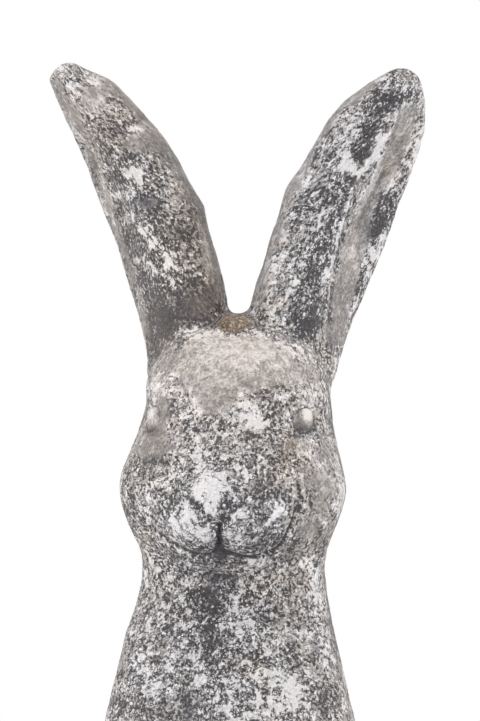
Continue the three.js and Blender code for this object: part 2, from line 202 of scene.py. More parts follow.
def with_modifier(mesh, kind, **settings):
    """The mesh as it is after one modifier."""
    holder = bpy.data.objects.new("holder", mesh)
    bpy.context.scene.collection.objects.link(holder)
    modifier = holder.modifiers.new(kind, kind)
    for key, value in settings.items():
        setattr(modifier, key, value)
    graph = bpy.context.evaluated_depsgraph_get()
    result = bpy.data.meshes.new_from_object(holder.evaluated_get(graph))
    bpy.data.objects.remove(holder)
    bpy.data.meshes.remove(mesh)
    return result


def remeshed(form, voxel):
    """The form's outer skin on an even grid of that size, without what lies sealed inside."""
    result = with_modifier(form.mesh("remesh"), "REMESH", mode="VOXEL", voxel_size=voxel * MM)
    made = Form.of_mesh(result)
    bpy.data.meshes.remove(result)
    return largest(made)


def largest(form):
    """The connected surface with the most points."""
    label = np.arange(len(form.points))
    a, b = form.edges().T
    while True:
        low = np.minimum(label[a], label[b])
        new = label.copy()
        np.minimum.at(new, a, low)
        np.minimum.at(new, b, low)
        new = new[new]
        if np.array_equal(new, label):
            break
        label = new
    kept = label == np.bincount(label).argmax()
    number = np.cumsum(kept) - 1
    tris = number[form.tris[kept[form.tris[:, 0]]]]
    quads = number[form.quads[kept[form.quads[:, 0]]]]
    return Form(form.points[kept], tris, quads)


def hull(form):
    """The form's convex hull, which closes the pin hole of a bead."""
    made = bmesh.new()
    corners = [made.verts.new(p * MM) for p in form.points]
    inside = bmesh.ops.convex_hull(made, input=corners)["geom_interior"]
    bmesh.ops.delete(made, geom=[v for v in inside if isinstance(v, bmesh.types.BMVert)], context="VERTS")
    mesh = bpy.data.meshes.new("hull")
    made.to_mesh(mesh)
    made.free()
    out = Form.of_mesh(mesh)
    bpy.data.meshes.remove(mesh)
    return out


def eye_form(name, flatness, sunk, back=0.0, up=0.0, lean=0.0):
    """An eye's bead without its pin hole, flattened, pushed in, moved back round the head, and leaned."""
    side = SIDES[name.split("_")[0]]
    outward = np.array([side * math.sin(EYE_TURN), -math.cos(EYE_TURN), 0])
    backward = np.array([side * math.cos(EYE_TURN), math.sin(EYE_TURN), 0])
    bead = hull(cad_form(name))
    off = bead.points - bead.points.mean(0)
    bead.points += np.outer(off @ outward * (flatness - 1) - sunk, outward)
    bead.points += np.outer(off[:, 2] * lean + back, backward)
    bead.points[:, 2] += up
    return bead


def block(low, high):
    """A box between two corners."""
    corners = np.array([[x, y, z] for x in (0, 1) for y in (0, 1) for z in (0, 1)], float)
    quads = [[0, 1, 3, 2], [4, 6, 7, 5], [0, 4, 5, 1], [2, 3, 7, 6], [0, 2, 6, 4], [1, 5, 7, 3]]
    return Form(np.array(low) + corners * (np.array(high) - np.array(low)), [], quads)


def cut(mesh, form, operation):
    """The mesh with a form taken away from it, or only what is inside the form."""
    tool = bpy.data.objects.new("tool", form.mesh("tool"))
    bpy.context.scene.collection.objects.link(tool)
    result = with_modifier(mesh, "BOOLEAN", object=tool, operation=operation, solver="MANIFOLD")
    data = tool.data
    bpy.data.objects.remove(tool)
    bpy.data.meshes.remove(data)
    return result


# Where a point is seen, and shapes drawn there
def seen(points):
    """Where points are seen in the picture's frame, in its pixels, x to the right and y down."""
    away = points - (RIGHT * CAMERA_ASIDE + np.array([0, 0, CAMERA_HEIGHT]))
    scale = CAMERA_DISTANCE / (CAMERA_DISTANCE - away @ TOWARDS) / MM_PER_PIXEL
    return np.stack([FRAME_WIDTH / 2 + away @ RIGHT * scale, FRAME_HEIGHT / 2 - away[:, 2] * scale], 1)


def curved(path, steps=5):
    """A path through the same spots with a smooth run between them."""
    p = np.array(path, float)
    p = np.concatenate([[2 * p[0] - p[1]], p, [2 * p[-1] - p[-2]]])
    out = []
    for a, b, c, d in zip(p[:-3], p[1:-2], p[2:-1], p[3:]):
        for t in np.linspace(0, 1, steps, endpoint=False):
            cubic = (2 * a - 5 * b + 4 * c - d) * t ** 2 + (3 * b - a - 3 * c + d) * t ** 3
            out.append(0.5 * (2 * b + (c - a) * t + cubic))
    return np.array(out + [p[-2]])


def from_path(spots, path):
    """Distance of spots from a path, the side they lie on (+1 left of it as it runs), and how far along."""
    best, side, along = np.full(len(spots), 1e9), np.zeros(len(spots)), np.zeros(len(spots))
    path = curved(path)
    for i, (a, b) in enumerate(zip(path[:-1], path[1:])):
        d = b - a
        t = np.clip((spots - a) @ d / (d @ d), 0, 1)
        away = spots - (a + t[:, None] * d)
        far = np.linalg.norm(away, axis=1)
        near = far < best
        best[near] = far[near]
        side[near] = np.sign(d[1] * away[near, 0] - d[0] * away[near, 1])
        along[near] = (i + t[near]) / (len(path) - 1)
    return best, side, along


def bump(spots, centre, size):
    """How strongly a soft round mark is felt at each spot: one in its middle, and less away from it."""
    return np.exp(-(((spots - np.array(centre, float)) / np.array(size, float)) ** 2).sum(1))


def smoothstep(low, high, value):
    t = np.clip((value - low) / (high - low), 0, 1)
    return t * t * (3 - 2 * t)


def lumps(points, size, seed, octaves=3):
    """Seeded smooth noise of about one unit, with features that many millimetres wide."""
    shift = Vector((seed * 7.31, seed * 3.77, seed * 5.13))
    return np.array([noise.fractal(Vector(p) + shift, 0.9, 2.1, octaves) for p in points / size])


# Small shifts of the outline as seen from the front: middle, size and shift, in pixels
NUDGES = [
    ((50, 82), (9, 16), (-7, -1)), ((66, 60), (16, 9), (0, -3.5)), ((108, 84), (14, 13), (3.5, -2)),
    ((115, 240), (12, 60), (2.5, 0)), ((202, 205), (10, 14), (3.5, 0)), ((402, 70), (18, 8), (0, -2)),
    ((291, 190), (14, 22), (-5, 0)), ((262, 262), (12, 24), (2.5, 0)), ((385, 250), (12, 50), (2, 0)),
    ((149, 375), (10, 14), (-4, 0)), ((146, 405), (10, 9), (2.5, 0)), ((124, 470), (12, 14), (-1.5, 0)),
    ((130, 525), (10, 10), (-1.5, 0)), ((130, 630), (14, 34), (-3.5, 0)),
]


def nudged(form):
    """The form with its outline brought to the photographed one."""
    spots = seen(form.points)
    shift = sum(bump(spots, centre, size)[:, None] * np.array(move) for centre, size, move in NUDGES)
    form.points += MM_PER_PIXEL * (shift[:, :1] * RIGHT - shift[:, 1:] * np.array([0, 0, 1]))
    return form


# The figure in one skin, first as a coarse form whose pieces flow into each other
INNER = [name for name in NODES if name.endswith(("_bar", "_rod", "_tie", "_dowel", "_pin"))]
EYES = ["left_eye", "right_eye"]
EAR_MORTARS = ["left_ear_mortar", "right_ear_mortar"]

ears = {}
for hand in SIDES:
    solid_ear = joined([cad_form(f"{hand}_ear"), cad_form(f"{hand}_ear_rod", grow=ROD_GROWTH)])
    ears[hand] = nudged(remeshed(solid_ear, EAR_VOXEL))

castings = joined(
    [cad_form("front_casting"), cad_form("rear_casting", shift=REAR_SHIFT)]
    + [cad_form(name, grow=PIECE_GROWTH) for name in INNER + EAR_MORTARS + ["crown_mortar"]]
    + [eye_form(name, *SOCKET_FILLING) for name in EYES]
)
blank = joined([nudged(castings)] + list(ears.values()))
figure = remeshed(blank, FORM_VOXEL).smooth(10, keep=0.9)

# Swellings of the face as seen from the front: middle and size in the picture, height in millimetres
SWELLINGS = [
    ((188, 521), (24, 22), 3.2),
    ((254, 522), (30, 24), 3.6),
    ((216, 500), (22, 15), 2.4),
    ((222, 563), (46, 8), 1.6),
    ((134, 497), (20, 30), 1.0),
    ((330, 490), (18, 32), 1.5),
    ((300, 396), (22, 7), 2.6),
    ((152, 395), (12, 8), 2.0),
    ((300, 449), (24, 8), 1.6),
    ((156, 449), (14, 8), 1.4),
    ((236, 372), (52, 26), 1.4),
]


def sum_of(marks, spots):
    """What round marks add up to at each spot."""
    return sum(h * bump(spots, centre, size) for centre, size, h in marks)


def along_paths(marks, spots):
    """What marks drawn along paths add up to at each spot."""
    return sum(h * np.exp(-((from_path(spots, path)[0] / wide) ** 2)) for path, wide, h in marks)


def facing(form):
    """One where the surface is seen from the front, down to nothing at the outline and behind."""
    return smoothstep(0.0, 0.35, form.normals() @ TOWARDS)


swelling = sum_of(SWELLINGS, seen(figure.points)) * facing(figure)
figure.points += figure.normals() * swelling[:, None]
figure = remeshed(figure, SKIN_VOXEL).smooth(2)

# Lines cut into the surface: path in the picture, half width in pixels, depth in millimetres
GROOVES = [
    ([(219, 549), (229, 553), (247, 557), (266, 554), (281, 544), (290, 528), (295, 512)], 1.7, 2.2),
    ([(295, 512), (300, 500), (298, 485), (290, 470)], 2.6, 1.2),
    ([(219, 549), (206, 556), (193, 554), (178, 547), (162, 537), (150, 526)], 2.4, 1.7),
    ([(219, 521), (219, 536), (219, 550)], 2.1, 2.4),
    ([(189, 499), (198, 506), (206, 516), (217, 522)], 3.2, 1.0),
    ([(219, 522), (229, 517), (237, 507), (245, 502)], 4.0, 0.7),
    ([(146, 546), (168, 564), (193, 574), (215, 576), (243, 574), (270, 569), (300, 558), (325, 542)],
     6, 1.7),
    ([(391, 166), (384, 180), (375, 198), (366, 217), (358, 234)], 2.2, 1.8),
    ([(264, 430), (276, 424), (288, 414)], 1.3, 0.6),
    ([(260, 421), (272, 415), (284, 407)], 1.3, 0.5),
    ([(288, 411), (294, 404), (304, 402), (313, 407), (319, 418)], 1.6, -0.5),
    ([(147, 410), (150, 402), (156, 396), (162, 402)], 1.6, -0.5),
]

# The least share of a groove's depth at its ends, and how fast it gets deeper from there
GROOVE_END, GROOVE_GAIN = 0.35, 4

# The sharp edge down the front of the left ear. Behind it the ear is hollow: how deep, how wide and how
# sharply from the edge. Before it the ear rises: how high and how wide.
HOLLOW_DEPTH, HOLLOW_WIDTH, HOLLOW_ONSET = 5.5, 24, 2.2
RISE_HEIGHT, RISE_WIDTH = 0.8, 4
EAR_RIDGE = [(399, 116), (391, 133), (381, 146), (372, 158), (366, 168), (359, 179), (353, 190), (348, 207),
             (343, 225), (339, 242), (335, 260), (332, 278), (330, 295), (328, 313), (327, 331), (328, 344)]


def sculpt(form):
    """Cuts the grooves and the left ear's hollow into the form."""
    spots = seen(form.points)
    depth = np.zeros(len(spots))
    for path, half_width, deep in GROOVES:
        far, _, along = from_path(spots, path)
        fade = np.minimum(1, GROOVE_END + GROOVE_GAIN * np.minimum(along, 1 - along))
        line = deep * fade * np.exp(-((far / half_width) ** 2))
        depth = np.where(np.abs(line) > np.abs(depth), line, depth)
    far, side, along = from_path(spots, EAR_RIDGE)
    ends = smoothstep(0, 0.12, along) * smoothstep(1.0, 0.85, along)
    behind = (side > 0) * (1 - np.exp(-far / HOLLOW_ONSET)) * np.exp(-((far / HOLLOW_WIDTH) ** 2))
    before = (side < 0) * np.exp(-((far / RISE_WIDTH) ** 2)) * smoothstep(0.75, 0.45, along)
    depth += ends * (HOLLOW_DEPTH * smoothstep(1.15, 0.5, along) * behind - RISE_HEIGHT * before)
    form.points -= form.normals() * (depth * facing(form))[:, None]


sculpt(figure)

# Gaps between the toes: middle of each foot, from where to where along Y they deepen, and their spacing;
# then their half width, their depth, and between which heights above the sole they fade away
FEET = [(33, -104, -117, 9.5), (70, -80, -96, 8.5)]
TOE_GAP_WIDTH, TOE_GAP_DEPTH = 1.6, 2.2
TOE_TOPS = (30, 16)


def part_toes(form):
    """Cuts three gaps into each foot."""
    x, y, z = form.points.T
    for middle, start, end, spacing in FEET:
        for i in (-1, 0, 1):
            slot = np.exp(-(((np.abs(x) - middle - i * spacing) / TOE_GAP_WIDTH) ** 2))
            reach = smoothstep(start, end, y) * smoothstep(*(SOLE + top for top in TOE_TOPS), z)
            form.points -= form.normals() * (TOE_GAP_DEPTH * slot * reach)[:, None]


part_toes(figure)


# Trowel marks, wear and grain: height, size and octaves of each
WEAR = [(0.55, 34, 2), (0.32, 11, 3), (0.16, 3.6, 2)]


def weather(form, seed, amount=1.0):
    """Wears the surface, by moves along its normals."""
    p = form.points
    height = sum(h * lumps(p, size, seed + i, octaves) for i, (h, size, octaves) in enumerate(WEAR))
    form.points = p + form.normals() * (amount * height)[:, None]
    return form


weather(figure, 3)

# A squeeze of the last few millimetres keeps the ear tips inside the CAD part's height
SQUEEZED, SPARE = 12, 0.05
high = figure.points[:, 2].max() + SPARE
start = TOP - SQUEEZED
figure.points[:, 2] = np.interp(figure.points[:, 2], [0, start, high], [0, start, TOP - SPARE])


# Patches of tone as seen from the front, some of them painted highlights, painted shade and painted shadow:
# middle and size in the picture, lighter (+) or darker (-)
TONES_AND_PAINTED_LIGHT = [
    # right ear
    ((66, 74), (8, 6), 0.64), ((58, 68), (24, 14), -1.02), ((97, 103), (14, 13), 0.64),
    ((136, 132), (15, 6), 0.38), ((137, 174), (11, 8), 2.05), ((115, 197), (9, 8), 1.41),
    ((150, 230), (6, 10), 0.64), ((140, 118), (8, 5), -1.28), ((160, 165), (9, 14), -1.15),
    ((120, 180), (5, 8), -1.02), ((142, 203), (14, 9), -1.41), ((128, 238), (10, 11), -0.9),
    ((94, 168), (8, 20), -0.9), ((195, 225), (14, 40), -0.9), ((205, 297), (16, 18), -1.41),
    ((158, 335), (12, 28), -2.05), ((153, 290), (8, 14), -0.77), ((150, 205), (55, 110), -0.64),
    ((128, 221), (7, 6), 1.54), ((186, 304), (28, 18), -1.66), ((172, 326), (10, 12), -1.15),
    # left ear
    ((350, 147), (9, 18), 0.9), ((381, 143), (8, 15), 1.0), ((403, 130), (10, 14), 0.4),
    ((402, 62), (26, 9), -1.3), ((404, 75), (20, 9), -1.1), ((315, 215), (45, 105), -0.1),
    ((325, 276), (7, 11), 0.9), ((288, 291), (7, 13), 0.8), ((300, 175), (11, 15), 0.3),
    # (372, 262) is a painted highlight on the left ear's outer rim
    ((372, 262), (11, 9), 0.6), ((352, 255), (10, 24), 0.9), ((405, 88), (9, 6), 0.6),
    ((384, 208), (4, 4), 2.2), ((388, 200), (10, 8), -0.9), ((380, 222), (9, 12), -0.9),
    ((373, 228), (10, 12), -0.8), ((334, 262), (7, 14), 0.7), ((293, 215), (9, 15), -0.5),
    ((330, 240), (6, 6), 0.6), ((306, 326), (15, 13), -2.0), ((320, 215), (10, 22), -0.3),
    ((264, 300), (8, 14), -0.6), ((336, 346), (8, 9), -0.8), ((318, 371), (5, 14), -0.6),
    # forehead and eyes, with painted highlights and painted shade on the eye beads
    ((198, 333), (16, 8), 2.2), ((238, 345), (54, 10), 0.5), ((180, 316), (24, 11), -1.2),
    ((236, 362), (66, 22), 0.85), ((262, 322), (14, 9), 0.6), ((305, 392), (13, 17), 0.9),
    ((158, 388), (9, 11), 0.6), ((253, 418), (8, 14), 1.2), ((191, 411), (6, 8), 0.8),
    ((246, 403), (12, 6), 0.5), ((192, 430), (11, 8), -0.4), ((156, 458), (20, 18), -0.8),
    # (308, 414) and (151, 413) are painted highlights on the upper side of the left and the right eye's
    # bead; (301, 430) and (153, 431) are painted shade under them, and (315, 420) is a painted shade line
    # along the left eye's bead at its outer edge
    ((284, 467), (14, 9), -0.5), ((291, 446), (9, 9), -0.7), ((308, 414), (5, 9), 2.0),
    ((301, 430), (9, 6), -2.8), ((299, 416), (2, 8), -0.9), ((153, 431), (7, 4), -2.2),
    ((151, 413), (4, 8), 1.4), ((228, 452), (38, 26), 0.45), ((315, 420), (2.0, 7), -1.4),
    # muzzle
    ((207, 486), (16, 9), 1.8), ((212, 500), (7, 10), 1.6), ((182, 519), (11, 12), 1.0),
    ((203, 533), (8, 9), 0.9), ((243, 515), (6, 6), 1.5), ((238, 538), (6, 7), 1.3),
    ((253, 541), (5, 5), 0.9), ((228, 531), (4, 6), 0.9), ((122, 482), (7, 24), 0.8),
    ((341, 470), (7, 30), 0.6), ((262, 490), (16, 15), -1.7), ((262, 527), (28, 18), -0.9),
    ((266, 547), (24, 6), -0.5), ((233, 505), (8, 8), -1.2), ((188, 549), (24, 6), -0.8),
    ((322, 508), (22, 42), -0.55), ((134, 495), (20, 40), -0.6), ((223, 508), (7, 8), -1.3),
    ((195, 505), (6, 6), -1.4), ((205, 514), (5, 5), -1.0), ((261, 497), (8, 20), -0.6),
    ((248, 531), (20, 13), -0.6), ((220, 545), (7, 12), -1.8), ((190, 540), (10, 5), -0.6),
    ((286, 545), (10, 10), -0.4), ((225, 515), (50, 30), 0.5), ((235, 560), (14, 8), -1.0),
    # neck and chest
    ((275, 585), (9, 7), 0.8), ((188, 620), (14, 9), 0.5), ((150, 690), (12, 12), 0.8),
    ((255, 572), (36, 9), 0.4), ((243, 712), (32, 10), 0.7), ((252, 698), (46, 22), 0.6),
    ((315, 586), (5, 12), 0.5), ((225, 600), (60, 22), 0.15), ((310, 600), (14, 14), 0.5),
    # (212, 592), (211, 624) and, on the next line, (210, 635) are painted shadow under the jaw
    ((178, 566), (16, 9), -0.8), ((212, 592), (10, 24), -1.5), ((211, 624), (7, 26), -0.9),
    ((242, 616), (12, 18), 0.7), ((210, 635), (10, 10), -1.0), ((225, 600), (60, 30), -0.2),
    ((250, 640), (18, 16), 0.3), ((255, 666), (20, 12), -0.4), ((174, 630), (9, 8), 0.6),
    # (165, 706) and (190, 698) are painted shade: a dark band on the chest, without a groove in the form
    # under it
    ((165, 706), (13, 14), -1.2), ((190, 698), (12, 18), -1.3), ((183, 660), (9, 26), -0.6),
    ((322, 697), (12, 18), -0.5),
]
# Patches that are smooth and even (+) or crisp with flecks (-)
CALM = [
    ((92, 96), (22, 22), 0.7), ((138, 145), (14, 11), 1.1), ((190, 312), (24, 16), 0.4),
    ((142, 204), (13, 7), 1.9), ((54, 72), (16, 12), 0.3), ((396, 92), (18, 9), -0.9),
    ((381, 212), (11, 20), -1.8), ((402, 64), (24, 9), 0.4), ((352, 92), (18, 12), 0.5),
    ((216, 370), (56, 26), 1.3), ((244, 346), (48, 10), 0.8), ((295, 372), (24, 18), 0.6),
    ((162, 400), (10, 20), 0.5), ((152, 442), (22, 26), 0.9), ((320, 470), (24, 40), 0.6),
    ((266, 492), (14, 14), 0.2), ((308, 526), (24, 24), 0.4), ((218, 406), (14, 13), 1.0),
    ((285, 445), (12, 10), 0.5), ((126, 492), (10, 28), -0.4), ((208, 505), (34, 34), -0.7),
    ((225, 445), (28, 22), -0.2), ((262, 410), (18, 22), -0.3), ((290, 575), (34, 12), 0.5),
    ((288, 622), (16, 30), 0.4), ((303, 655), (12, 40), 0.15), ((165, 590), (20, 12), 0.3),
    ((120, 650), (10, 50), 0.4), ((356, 240), (12, 70), 0.3), ((185, 612), (16, 24), -0.9),
    ((240, 632), (28, 46), -1.5), ((250, 695), (50, 28), -0.9), ((142, 690), (14, 30), -0.6),
]
# Smooth (+) and rough (-) strips that run along the ears: path, half width, strength
STRIPS = [
    ([(110, 75), (140, 105), (165, 140), (188, 175), (202, 210), (212, 250), (218, 290)], 11, 1.0),
    ([(55, 85), (75, 120), (92, 160), (108, 205), (122, 250), (136, 290), (146, 330)], 6, 0.7),
    ([(124, 168), (136, 192), (144, 225), (156, 262), (162, 284)], 14, -1.1),
    ([(372, 74), (345, 95), (320, 125), (300, 160), (283, 195), (272, 230), (262, 265), (254, 295)],
     11, 1.2),
    ([(408, 112), (402, 135), (391, 160), (377, 190), (363, 225), (352, 260), (343, 300), (338, 335)],
     9, 1.7),
    ([(398, 95), (378, 112), (362, 140), (345, 175), (330, 215), (318, 255), (308, 300), (305, 330)],
     10, -1.2),
    ([(422, 120), (413, 150), (402, 185), (390, 215), (375, 250), (363, 285), (350, 330)], 5, -1.0),
]
# Patches of warmth: yellowish and brown (+) or bluish (-)
WARMTH = [
    ((238, 326), (18, 14), 1.6), ((222, 316), (11, 10), 1.2), ((236, 343), (30, 9), 0.4),
    ((236, 368), (80, 34), 0.7), ((105, 120), (40, 50), 0.6), ((185, 250), (24, 60), 0.9),
    ((210, 290), (14, 30), 1.2), ((292, 442), (9, 9), 2.4), ((290, 456), (14, 10), 0.9),
    ((160, 340), (14, 28), 0.5), ((352, 220), (14, 50), 0.9), ((390, 170), (10, 12), 0.9),
    ((223, 521), (6, 6), 1.8), ((250, 668), (26, 14), 0.8), ((140, 540), (20, 16), 0.9),
    ((270, 590), (26, 12), 0.7), ((285, 470), (16, 16), 0.9), ((150, 450), (20, 24), 0.5),
    ((142, 204), (13, 9), -1.8), ((373, 228), (14, 14), -0.8), ((396, 101), (20, 14), -1.4),
    ((306, 326), (16, 14), -1.2), ((345, 205), (18, 24), -0.6), ((250, 505), (34, 24), -0.4),
    ((200, 540), (24, 14), -0.6), ((262, 548), (30, 12), -0.6), ((225, 522), (66, 34), -1.2),
    ((220, 660), (130, 80), -0.5), ((330, 190), (60, 110), -1.0), ((215, 590), (14, 30), -1.2),
    # (175, 288) gives the painted highlight down the right ear its cold tint
    ((190, 700), (30, 16), -1.0), ((175, 288), (4, 16), -0.9), ((300, 435), (8, 5), -2.0),
]
# Lighter and darker lines, some of them painted highlights and painted shade: path in the picture, half
# width in pixels, strength
STREAKS_AND_PAINTED_LIGHT = [
    # a painted highlight down the crest of the left ear's ridge, and two lines below, at x + 2.5, a painted
    # shade line on its hollow side
    (EAR_RIDGE[1:8], 2.2, 0.9),
    (EAR_RIDGE[7:], 2.0, -0.3),
    ([(x + 2.5, y) for x, y in EAR_RIDGE], 2.0, -0.6),
    ([(344, 163), (350, 170), (358, 173), (366, 168), (373, 159), (380, 148), (386, 137)], 3.0, 2.4),
    ([(353, 153), (358, 158), (364, 154), (369, 146)], 3.2, -1.8),
    # a painted highlight along the left ear's outer rim
    ([(422, 140), (412, 172), (398, 206), (384, 238), (372, 264), (360, 292), (350, 318)], 2.0, 0.7),
    ([(384, 218), (378, 228), (368, 240)], 3.0, -1.0),
    ([(129, 129), (136, 127), (142, 130)], 1.8, 1.8),
    # a painted highlight down the right ear
    ([(174, 268), (173, 285), (174, 300)], 1.8, 1.5),
    # a painted shadow in the mouth's slot and below it
    ([(219, 530), (220, 545), (222, 562)], 4.0, -2.0),
    ([(219, 549), (229, 553), (247, 557), (266, 554), (281, 544)], 1.8, -1.6),
    ([(158, 534), (172, 546), (188, 555)], 1.8, 1.3),
    ([(138, 226), (154, 247), (170, 264)], 1.5, 1.7),
    ([(146, 228), (160, 246), (176, 268)], 1.3, 1.8),
    ([(150, 262), (158, 272), (170, 279)], 1.3, 1.8),
    ([(156, 240), (148, 252), (138, 262)], 1.6, 1.6),
    ([(134, 168), (142, 180), (148, 192)], 1.1, 1.2),
    ([(168, 152), (174, 164), (178, 176)], 1.0, 0.9),
    ([(95, 150), (104, 185), (116, 228), (126, 258)], 1.6, 0.7),
    ([(196, 205), (204, 235), (210, 268)], 2.2, 0.7),
    ([(240, 555), (262, 566), (290, 564), (312, 556)], 2.0, 0.9),
    ([(166, 578), (176, 592), (186, 606)], 3.0, 1.2),
    ([(299, 480), (298, 495), (296, 508)], 1.2, -0.7),
    ([(295, 470), (294, 490)], 1.4, 0.8),
    ([(410, 94), (392, 99), (380, 115), (368, 135), (360, 150)], 6.5, -1.2),
    ([(352, 178), (342, 205), (328, 235), (318, 265), (312, 300), (306, 330)], 6.5, -0.8),
    ([(257, 530), (268, 523), (279, 511)], 2.4, 2.4),
    ([(192, 500), (200, 508), (212, 519)], 2.2, -0.9),
    ([(304, 451), (318, 464), (334, 482)], 1.6, 0.9),
    ([(298, 447), (312, 462), (324, 480)], 1.6, 0.7),
]
# What the front doesn't show has patches of its own: strength, size in millimetres and seed
UNSEEN = {"tone": (1.3, 24, 31), "calm": (1.2, 30, 32), "warmth": (1.2, 42, 33)}

# The grain runs with the ears, which lean outwards by so much at these heights. It is drawn out a little
# along Z, above the ears' roots and below them.
EAR_LEAN = ([455, 466, 521, 566, 617], [0, 2, 21, 43, 75])
EAR_ROOTS = 455
GRAIN_ABOVE, GRAIN_BELOW = 0.85, 0.9
HOLLOW_ROUNDS = 9


def paint(mesh, lighter=0.0, calmer=0.0):
    """Gives each point what the finish goes by: tone (with painted highlights and painted shade), calm,
    warmth, hollow, and the grain's coordinates.
    """
    form = Form.of_mesh(mesh)
    spots, front = seen(form.points), facing(form)
    flat = Form(form.points.copy(), form.tris, form.quads).smooth(HOLLOW_ROUNDS)
    x, y, z = form.points.T
    lean, climb = np.interp(z, *EAR_LEAN), z - EAR_ROOTS
    drawn_out = EAR_ROOTS + climb * np.where(climb > 0, GRAIN_ABOVE, GRAIN_BELOW)
    grain = np.stack([x - np.sign(x) * lean, y, drawn_out], 1)
    unseen = {
        name: (1 - front) * strength * lumps(form.points, size, seed)
        for name, (strength, size, seed) in UNSEEN.items()
    }
    marks = {
        "tone": sum_of(TONES_AND_PAINTED_LIGHT, spots) + along_paths(STREAKS_AND_PAINTED_LIGHT, spots),
        "calm": sum_of(CALM, spots) + along_paths(STRIPS, spots),
        "warmth": sum_of(WARMTH, spots),
    }
    values = {
        "tone": lighter + front * marks["tone"] + unseen["tone"],
        "calm": calmer + front * marks["calm"] + unseen["calm"],
        "warmth": front * marks["warmth"] + unseen["warmth"],
        "hollow": ((flat.points - form.points) * form.normals()).sum(1),
    }
    for name, value in values.items():
        mesh.attributes.new(name, "FLOAT", "POINT").data.foreach_set("value", value.astype(np.float32))
    vectors = mesh.attributes.new("grain", "FLOAT_VECTOR", "POINT")
    vectors.data.foreach_set("vector", grain.astype(np.float32).ravel())
    return mesh


def linear(colour):
    """An sRGB colour out of 255 as the linear one that a shader takes."""
    parts = [c / 255 for c in colour]
    return tuple(c / 12.92 if c <= 0.04045 else ((c + 0.055) / 1.055) ** 2.4 for c in parts) + (1,)


class Shader:
    """A material's nodes, built by short calls."""

    def __init__(self, name):
        self.material = bpy.data.materials.new(name)
        self.material.use_nodes = True
        self.tree = self.material.node_tree
        self.surface = self.tree.nodes["Principled BSDF"]

    def node(self, kind, inputs=(), **settings):
        made = self.tree.nodes.new("ShaderNode" + kind)
        for key, value in settings.items():
            setattr(made, key, value)
        for key, value in dict(inputs).items():
            self.set(made.inputs[key], value)
        return made

    def set(self, socket, value):
        if isinstance(value, bpy.types.NodeSocket):
            self.tree.links.new(value, socket)
        else:
            socket.default_value = value

    def math(self, operation, *values):
        made = self.node("Math", operation=operation)
        for i, value in enumerate(values):
            self.set(made.inputs[i], value)
        return made.outputs[0]

    def weigh(self, *parts, add=0.0):
        """The sum of values, each times its weight."""
        total = add
        for value, weight in parts:
            total = self.math("MULTIPLY_ADD", value, weight, total)
        return total

    def moved_by(self, where, shift):
        return self.node("VectorMath", {0: where, 1: shift}, operation="ADD").outputs["Vector"]

    def moved(self, where, distance):
        """The coordinates far enough away for a noise of the same size to look unlike itself."""
        return self.moved_by(where, (distance, 0.7 * distance, -distance))

    def stretched(self, where, scale):
        return self.node("VectorMath", {0: where, 1: scale}, operation="MULTIPLY").outputs["Vector"]

    def attribute(self, name, output="Fac"):
        return self.node("Attribute", attribute_name=name).outputs[output]

    def noise(self, where, size, detail, roughness=0.55, distortion=0.0):
        inputs = {"Vector": where, "Scale": 1 / size, "Detail": detail, "Roughness": roughness,
                  "Distortion": distortion}
        return self.node("TexNoise", inputs).outputs["Fac"]

    def warped(self, where, size, reach):
        """The coordinates pushed about by noise, up to about half the reach."""
        inputs = {"Vector": where, "Scale": 1 / size, "Detail": 2.0}
        push = self.node("TexNoise", inputs).outputs["Color"]
        centred = self.moved_by(push, (-0.5, -0.5, -0.5))
        inputs = {0: centred, 1: (reach, reach, reach), 2: where}
        return self.node("VectorMath", inputs, operation="MULTIPLY_ADD").outputs["Vector"]

    def cells(self, where, size):
        """A random number for each cell, and the distance to the cell's edge as a share of its size."""
        inputs = {"Vector": where, "Scale": 1 / size}
        number = self.node("TexVoronoi", inputs, feature="F1").outputs["Color"]
        number = self.node("SeparateColor", {"Color": number}).outputs["Red"]
        return number, self.node("TexVoronoi", inputs, feature="DISTANCE_TO_EDGE").outputs["Distance"]

    def step(self, value, low, high, to_low=0.0, to_high=1.0):
        inputs = {"Value": value, "From Min": low, "From Max": high, "To Min": to_low, "To Max": to_high}
        return self.node("MapRange", inputs, interpolation_type="SMOOTHSTEP").outputs["Result"]

    def mix(self, factor, a, b, blend="MIX"):
        made = self.node("Mix", data_type="RGBA", blend_type=blend)
        self.set(made.inputs["Factor"], factor)
        for key, value in (("A", a), ("B", b)):
            socket = [s for s in made.inputs if s.name == key and s.type == "RGBA"][0]
            self.set(socket, value)
        return [s for s in made.outputs if s.type == "RGBA"][0]

    def ramp(self, value, stops):
        made = self.node("ValToRGB", {"Fac": value})
        points = made.color_ramp.elements
        for i, (place, colour) in enumerate(stops):
            point = points[i] if i < 2 else points.new(place)
            point.position = place
            point.color = linear(colour)
        return made.outputs["Color"]

    def millimetres(self):
        """The object's own coordinates in millimetres."""
        return self.stretched(self.node("TexCoord").outputs["Object"], (1000, 1000, 1000))

    def emboss(self, height, strength, distance):
        relief = self.node("Bump", {"Height": height, "Strength": strength, "Distance": distance})
        self.set(self.surface.inputs["Normal"], relief.outputs["Normal"])


# Colours out of 255 at their places along each ramp
CEMENT = [(0.0, (52, 49, 54)), (0.3, (110, 105, 105)), (0.6, (163, 159, 154)), (1.0, (213, 208, 202))]
CHALK = [(0.30, (220, 218, 216)), (0.6, (253, 252, 250))]
BRUSHED = [(0.0, (75, 72, 71)), (0.45, (133, 129, 125)), (0.75, (182, 177, 172)), (1.0, (233, 227, 221))]
PITS = [(0.35, (36, 33, 35)), (0.65, (81, 77, 78))]
EARTH = [(0.2, (76, 63, 48)), (0.5, (138, 120, 98)), (0.8, (184, 168, 146))]
EARTH_FLECKS = (214, 205, 196)
RUST = [(0.3, (66, 36, 24)), (0.55, (112, 66, 42)), (0.8, (150, 96, 60))]
PAPER = (244, 244, 243)


